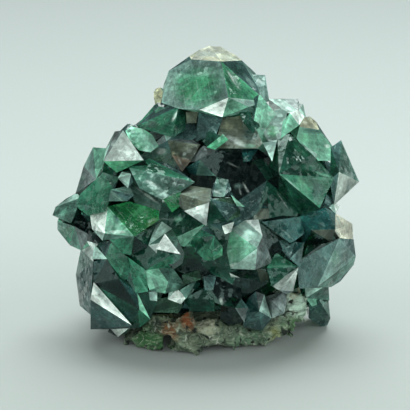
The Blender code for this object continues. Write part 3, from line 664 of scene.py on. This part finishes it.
def green_fluorite():
    """Clear green crystal: each face's paint, broken up by inner facets, clouds, veils and healed cracks."""
    material, tree = new_material("green_fluorite")
    shader = tree.nodes["Principled BSDF"]
    place = added(tree, "TexCoord").outputs["Object"]
    paint = added(tree, "Attribute", attribute_name="face_paint")
    cloud = paint.outputs["Alpha"]
    lightness = spread(tree, part_of(tree, paint.outputs["Vector"], "Y"), 0.02, 0.3, 0.15, 1)
    large = added(tree, "TexVoronoi", {"Vector": place, "Scale": LARGE_FACETS}).outputs["Color"]
    small = added(tree, "TexVoronoi", {"Vector": place, "Scale": SMALL_FACETS}).outputs["Color"]

    growth = added(tree, "VectorMath", operation="MULTIPLY")
    face_place = added(tree, "Attribute", attribute_name="place_in_face").outputs["Vector"]
    tree.links.new(face_place, growth.inputs[0])
    growth.inputs[1].default_value = GROWTH_LINES
    steps = drifting(tree, growth.outputs["Vector"], 1.0, 3.0, 0.3)

    brightness = product(
        tree,
        spread(tree, steps, 0.3, 0.7, 0.82, 1.2),
        spread(tree, part_of(tree, large, "X"), 0, 1, 0.78, 1.22),
        spread(tree, part_of(tree, small, "Y"), 0, 1, 0.82, 1.2),
        spread(tree, drifting(tree, place, 110, 2.0), 0.3, 0.7, 0.7, 1.4),
        spread(tree, drifting(tree, place, 900), 0.3, 0.7, 0.72, 1.28),
    )
    shaded = {"Vector": paint.outputs["Vector"], "Scale": brightness}
    colour = added(tree, "VectorMath", shaded, operation="SCALE")
    tint = product(tree, lightness, spread(tree, part_of(tree, large, "Z"), 0.6, 1, 0, 0.35))
    colour = stained(tree, colour.outputs["Vector"], INNER_TINT, tint)
    veils = product(tree, spread(tree, drifting(tree, place, 300, 6.0, 1.5), 0.6, 0.75), lightness, 0.6)
    colour = stained(tree, colour, VEIL_COLOUR, veils)
    cracked = spread(tree, drifting(tree, place, 70), 0.48, 0.6)
    cracks = product(tree, thin_lines(tree, place, 150, 0.012), cracked, lightness, 0.9)
    colour = stained(tree, colour, CRACK_COLOUR, cracks)
    darkly_cracked = spread(tree, drifting(tree, place, 80), 0.52, 0.4)
    dark_cracks = product(tree, thin_lines(tree, place, 210, 0.012), darkly_cracked, 0.6)
    colour = stained(tree, colour, DARK_CRACK_COLOUR, dark_cracks)
    stepped = spread(tree, drifting(tree, place, 60), 0.45, 0.6)
    pale_steps = product(tree, spread(tree, steps, 0.6, 0.68), stepped, lightness, 0.5)
    colour = stained(tree, colour, PALE_STEP_COLOUR, pale_steps)
    tree.links.new(colour, shader.inputs["Base Color"])

    shader.inputs["IOR"].default_value = FLUORITE_IOR
    shader.inputs["Specular Tint"].default_value = GLOSS_TINT
    tree.links.new(spread(tree, cloud, 0, 1, 0.9, 0.0), shader.inputs["Transmission Weight"])
    tree.links.new(spread(tree, cloud, 0.2, 0.9, 0.02, 0.42), shader.inputs["Roughness"])

    normal = added(tree, "NewGeometry").outputs["Normal"]
    for lean in (leaning(tree, large, LARGE_LEAN), leaning(tree, small, SMALL_LEAN)):
        leant = added(tree, "VectorMath", operation="ADD")
        tree.links.new(normal, leant.inputs[0])
        tree.links.new(lean, leant.inputs[1])
        normal = leant.outputs["Vector"]
    level = added(tree, "VectorMath", {"Vector": normal}, operation="NORMALIZE")
    tree.links.new(level.outputs["Vector"], shader.inputs["Normal"])

    absorption = added(tree, "VolumeAbsorption", {"Color": ABSORBED_TO, "Density": ABSORPTION})
    tree.links.new(absorption.outputs["Volume"], tree.nodes["Material Output"].inputs["Volume"])
    return material


fluorite.data.materials.append(green_fluorite())
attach(fluorite, "root")
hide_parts("crystal_cluster")

# The host rock: a rough lump of quartz-rich rock, pale sage green with moss green and rust stains, cut off
# flat below. Its surface is broken and pitted all over, and the crystals have grown over its front, top and
# sides.
ROCK_GRAIN = 0.7 * MM  # the mesh's own grain
PIT_DEPTHS = [(9 * MM, 2.2 * MM), (3.2 * MM, 1.2 * MM), (1.3 * MM, 0.5 * MM)]  # the lumps' width and depth
PIT_LEVEL = 0.75  # where the lumps' noise is below this, the surface is pressed in
ROCK_COLOUR, PALE_ROCK = (0.085, 0.13, 0.085), (0.22, 0.28, 0.19)
PALE_FIBRE, DARK_FIBRE = (0.33, 0.42, 0.28), (0.02, 0.035, 0.022)
FLECK_COLOUR, STREAK_COLOUR, PIT_SHADE_COLOUR = (0.42, 0.46, 0.36), (0.50, 0.52, 0.43), (0.012, 0.02, 0.014)
FIBRE_TURN, FIBRE_SCALE = (0, -0.5, 0), (160, 300, 700)
ROCK_ROUGHNESS, FINE_RELIEF = 0.75, 0.6 * MM  # the finish, and the depth of its finest grain

# Stains seen from the front: the middle of each, how far it reaches in steps, its colour, and how many
# patches it has to a metre.
ROCK_STAINS = [
    ((228, 331), 42, (0.10, 0.15, 0.10), 190),
    ((250, 340), 26, (0.13, 0.25, 0.15), 150),
    ((150, 342), 34, (0.026, 0.11, 0.03), 150),
    ((165, 316), 17, (0.34, 0.37, 0.20), 260),
    ((189, 319), 16, (0.24, 0.072, 0.02), 220),
    ((169, 332), 15, (0.17, 0.075, 0.028), 300),
    ((157, 325), 9, (0.02, 0.03, 0.02), 300),
    ((207, 326), 16, (0.36, 0.37, 0.26), 320),
    ((278, 334), 14, (0.22, 0.25, 0.09), 200),
    ((295, 305), 24, (0.60, 0.80, 0.66), 160),
    ((292, 294), 10, (0.55, 0.56, 0.40), 260),
    ((292, 325), 16, (0.11, 0.22, 0.10), 220),
]

rock_shape = merged_shape("matrix_rock")
rock_mesh = bpy.data.meshes.new("host_rock")
rock_shape.to_mesh(rock_mesh)
rock_shape.free()
rock = bpy.data.objects.new("host_rock", rock_mesh)
bpy.context.scene.collection.objects.link(rock)
remesh = rock.modifiers.new("even_grain", "REMESH")
remesh.mode = "VOXEL"
remesh.voxel_size = ROCK_GRAIN
for number, (width, depth) in enumerate(PIT_DEPTHS):
    lumps = bpy.data.textures.new(f"rock_lumps_{number}", "CLOUDS")
    lumps.noise_scale = width
    lumps.noise_depth = 2
    lumps.noise_basis = "VORONOI_F2_F1" if number == 1 else "BLENDER_ORIGINAL"
    pits = rock.modifiers.new(f"pits_{number}", "DISPLACE")
    pits.texture = lumps
    pits.texture_coords = "LOCAL"
    pits.strength = depth
    pits.mid_level = PIT_LEVEL
rough_mesh = bpy.data.meshes.new_from_object(rock.evaluated_get(bpy.context.evaluated_depsgraph_get()))
rock.modifiers.clear()
rock.data = rough_mesh
corners = np.clip(array_of(rough_mesh.vertices, "co", 3), *(np.array(corner) for corner in solid_box))
rough_mesh.vertices.foreach_set("co", corners.astype(np.float32).ravel())
rough_mesh.update()
rock_shape = bmesh.new()
rock_shape.from_mesh(rough_mesh)
rock_tree = BVHTree.FromBMesh(rock_shape)
rock_shape.free()


def stained_rock():
    """Sage green rock with patches of its stains, pale flecks, thin white streaks, dark cracks, and painted
    shade in small hollows.
    """
    material, tree = new_material("stained_rock")
    shader = tree.nodes["Principled BSDF"]
    shader.inputs["Roughness"].default_value = ROCK_ROUGHNESS
    place = added(tree, "TexCoord").outputs["Object"]
    ground = added(tree, "RGB")
    ground.outputs["Color"].default_value = (*ROCK_COLOUR, 1)
    pale = spread(tree, drifting(tree, place, 160), 0.45, 0.58)
    colour = stained(tree, ground.outputs["Color"], PALE_ROCK, pale)
    for seen_at, reach, stain_colour, patches in ROCK_STAINS:
        middle = rock_tree.ray_cast(*seen_from_eye(*seen_at))[0]
        if middle is None:
            continue
        apart = added(tree, "VectorMath", operation="DISTANCE")
        tree.links.new(place, apart.inputs[0])
        apart.inputs[1].default_value = middle
        near = spread(tree, apart.outputs["Value"], reach * STEP, 0.4 * reach * STEP)
        patchy = spread(tree, drifting(tree, place, patches), 0.36, 0.5)
        colour = stained(tree, colour, stain_colour, product(tree, near, patchy))
    grain = added(tree, "Mapping", {"Vector": place, "Rotation": FIBRE_TURN, "Scale": FIBRE_SCALE})
    fibres = drifting(tree, grain.outputs["Vector"], 1.0, 4.0, 1.6)
    colour = stained(tree, colour, PALE_FIBRE, product(tree, spread(tree, fibres, 0.54, 0.64), 0.4))
    colour = stained(tree, colour, DARK_FIBRE, product(tree, spread(tree, fibres, 0.46, 0.36), 0.5))
    flecks = product(tree, spread(tree, drifting(tree, place, 420), 0.58, 0.68), 0.7)
    colour = stained(tree, colour, FLECK_COLOUR, flecks)
    streaked = spread(tree, drifting(tree, place, 90), 0.5, 0.6)
    streaks = product(tree, thin_lines(tree, place, 120, 0.018), streaked, 0.8)
    colour = stained(tree, colour, STREAK_COLOUR, streaks)
    # painted shade: small dark patches that stand for shade in the rock's hollows
    pit_shade = spread(tree, drifting(tree, place, 330), 0.44, 0.36)
    colour = stained(tree, colour, PIT_SHADE_COLOUR, pit_shade)
    tree.links.new(colour, shader.inputs["Base Color"])
    relief = {"Strength": 0.8, "Distance": FINE_RELIEF, "Height": drifting(tree, place, 600, 8.0)}
    bump = added(tree, "Bump", relief)
    tree.links.new(bump.outputs["Normal"], shader.inputs["Normal"])
    return material


rock.data.materials.append(stained_rock())
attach(rock, "root")
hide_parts("matrix_rock")

# The backdrop: one pale sheet that lies flat under the specimen and curves up far behind it. It is palest
# just behind the specimen, with painted shade making it darker towards the near side and the far side.
SHEET_HALF_WIDTH, SHEET_FRONT, BEND_START, BEND_RADIUS, SHEET_TOP = 3.0, -2.5, 2.0, 0.6, 3.0
BEND_POINTS = 24
# painted shade: the near and far colours are darker than the middle one
NEAR_SHEET, MIDDLE_SHEET, FAR_SHEET = (0.42, 0.452, 0.435), (0.425, 0.458, 0.448), (0.29, 0.313, 0.31)
NEAR_TO_MIDDLE, MIDDLE_TO_FAR = (-0.1, 0.12), (0.2, 0.65)  # how far back one colour changes to the next
SHEET_ROUGHNESS = 0.9


def sheet_profile():
    """Across the sheet from front to top: straight along the table, a quarter circle, then straight up."""
    turn = np.linspace(0, math.pi / 2, BEND_POINTS)
    bend = np.column_stack([BEND_START + BEND_RADIUS * np.sin(turn), BEND_RADIUS * (1 - np.cos(turn))])
    return np.vstack([[[SHEET_FRONT, 0]], bend, [[BEND_START + BEND_RADIUS, SHEET_TOP]]])


profile = sheet_profile()
sides = np.array([-SHEET_HALF_WIDTH, SHEET_HALF_WIDTH])
points = np.array([(x, y, z) for x in sides for y, z in profile])
count = len(profile)
faces = [(i + count, i + 1 + count, i + 1, i) for i in range(count - 1)]
sheet_mesh = bpy.data.meshes.new("backdrop")
sheet_mesh.from_pydata(points.tolist(), [], faces)
sheet_mesh.shade_smooth()
backdrop = bpy.data.objects.new("backdrop", sheet_mesh)
bpy.context.scene.collection.objects.link(backdrop)


def pale_sheet():
    """Matt pale grey-green, with painted shade a little darker towards the near side and the far side."""
    material, tree = new_material("pale_sheet")
    shader = tree.nodes["Principled BSDF"]
    away = part_of(tree, added(tree, "TexCoord").outputs["Object"], "Y")
    near_colour = added(tree, "RGB")
    near_colour.outputs["Color"].default_value = (*NEAR_SHEET, 1)
    colour = stained(tree, near_colour.outputs["Color"], MIDDLE_SHEET, spread(tree, away, *NEAR_TO_MIDDLE))
    colour = stained(tree, colour, FAR_SHEET, spread(tree, away, *MIDDLE_TO_FAR))
    tree.links.new(colour, shader.inputs["Base Color"])
    shader.inputs["Roughness"].default_value = SHEET_ROUGHNESS
    return material


sheet_mesh.materials.append(pale_sheet())

# The light: a room with bright and dark parts, and large soft panels above, at the left, at the right and
# in front.
LIGHT_COLOUR, ROOM_COLOUR = (0.93, 1.0, 0.98), (0.86, 0.95, 0.93, 1)
ROOM_DARKEST, ROOM_BRIGHTEST = 0.05, 0.38
world = bpy.data.worlds.new("studio")
bpy.context.scene.world = world
world.use_nodes = True
room = world.node_tree
way = added(room, "TexCoord").outputs["Generated"]
room_light = spread(room, drifting(room, way, 2.2, 2.0, 0.0), 0.42, 0.58, ROOM_DARKEST, ROOM_BRIGHTEST)
room.nodes["Background"].inputs["Color"].default_value = ROOM_COLOUR
room.links.new(room_light, room.nodes["Background"].inputs["Strength"])
PANELS = {  # each one's place, its width, and its power in watts
    "panel_above": ((0.1, 0.7, 1.0), 1.1, 23),
    "panel_left": ((-1.1, -0.4, 0.4), 1.1, 6),
    "panel_right": ((1.1, -0.3, 0.4), 1.1, 7),
    "panel_front": ((0.1, -1.4, 0.35), 1.1, 10),
}
for name, (place, size, power) in PANELS.items():
    panel = bpy.data.lights.new(name, "AREA")
    panel.size = size
    panel.energy = power
    panel.color = LIGHT_COLOUR
    panel_object = bpy.data.objects.new(name, panel)
    panel_object.location = place
    panel_object.rotation_euler = (LOOKED_AT - Vector(place)).to_track_quat("-Z", "Y").to_euler()
    bpy.context.scene.collection.objects.link(panel_object)

# The camera: far off with a long lens, looking down a little at the front.
SENSOR_WIDTH = 36
camera_data = bpy.data.cameras.new("camera")
camera_data.sensor_width = SENSOR_WIDTH
camera_data.lens = SENSOR_WIDTH * EYE_DISTANCE / (2 * VIEW_MIDDLE * STEP)
camera = bpy.data.objects.new("camera", camera_data)
camera.location = seen_from_eye(VIEW_MIDDLE, VIEW_MIDDLE)[0]
camera.rotation_euler = (math.pi / 2 - VIEW_TILT, 0, 0)
bpy.context.scene.collection.objects.link(camera)
bpy.context.scene.camera = camera
bpy.context.scene.view_settings.view_transform = "Standard"
